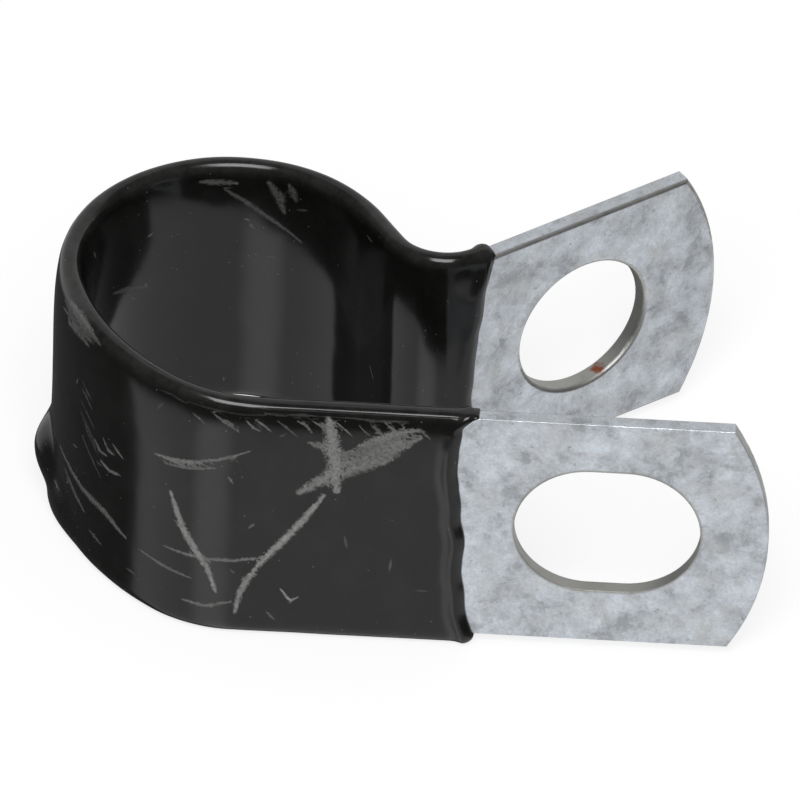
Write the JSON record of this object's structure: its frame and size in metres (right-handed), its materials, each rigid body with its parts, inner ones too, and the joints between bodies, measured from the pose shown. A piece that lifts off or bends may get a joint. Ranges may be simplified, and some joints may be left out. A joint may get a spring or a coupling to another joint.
{
  "type": "p clip",
  "caption": "Vinyl-dipped steel P clip: a looped steel band with splayed bare tabs, one slotted and one round-holed, that holds a cable or hose to a panel.",
  "frame": {"origin": "centre of the loop, halfway up the band", "axes": "+Z along the loop's axis, +X out along the front tab, +Y from the front leg towards the back of the loop"},
  "size_m": [0.0519, 0.0312, 0.0205],
  "materials": {
    "zinc_steel": "dull zinc plate with faint mottling",
    "black_vinyl": "glossy dipped vinyl with pale scuffs"
  },
  "bodies": {
    "root": {"steel_band": "zinc_steel", "vinyl_coat": "black_vinyl"}
  },
  "joints": []
}
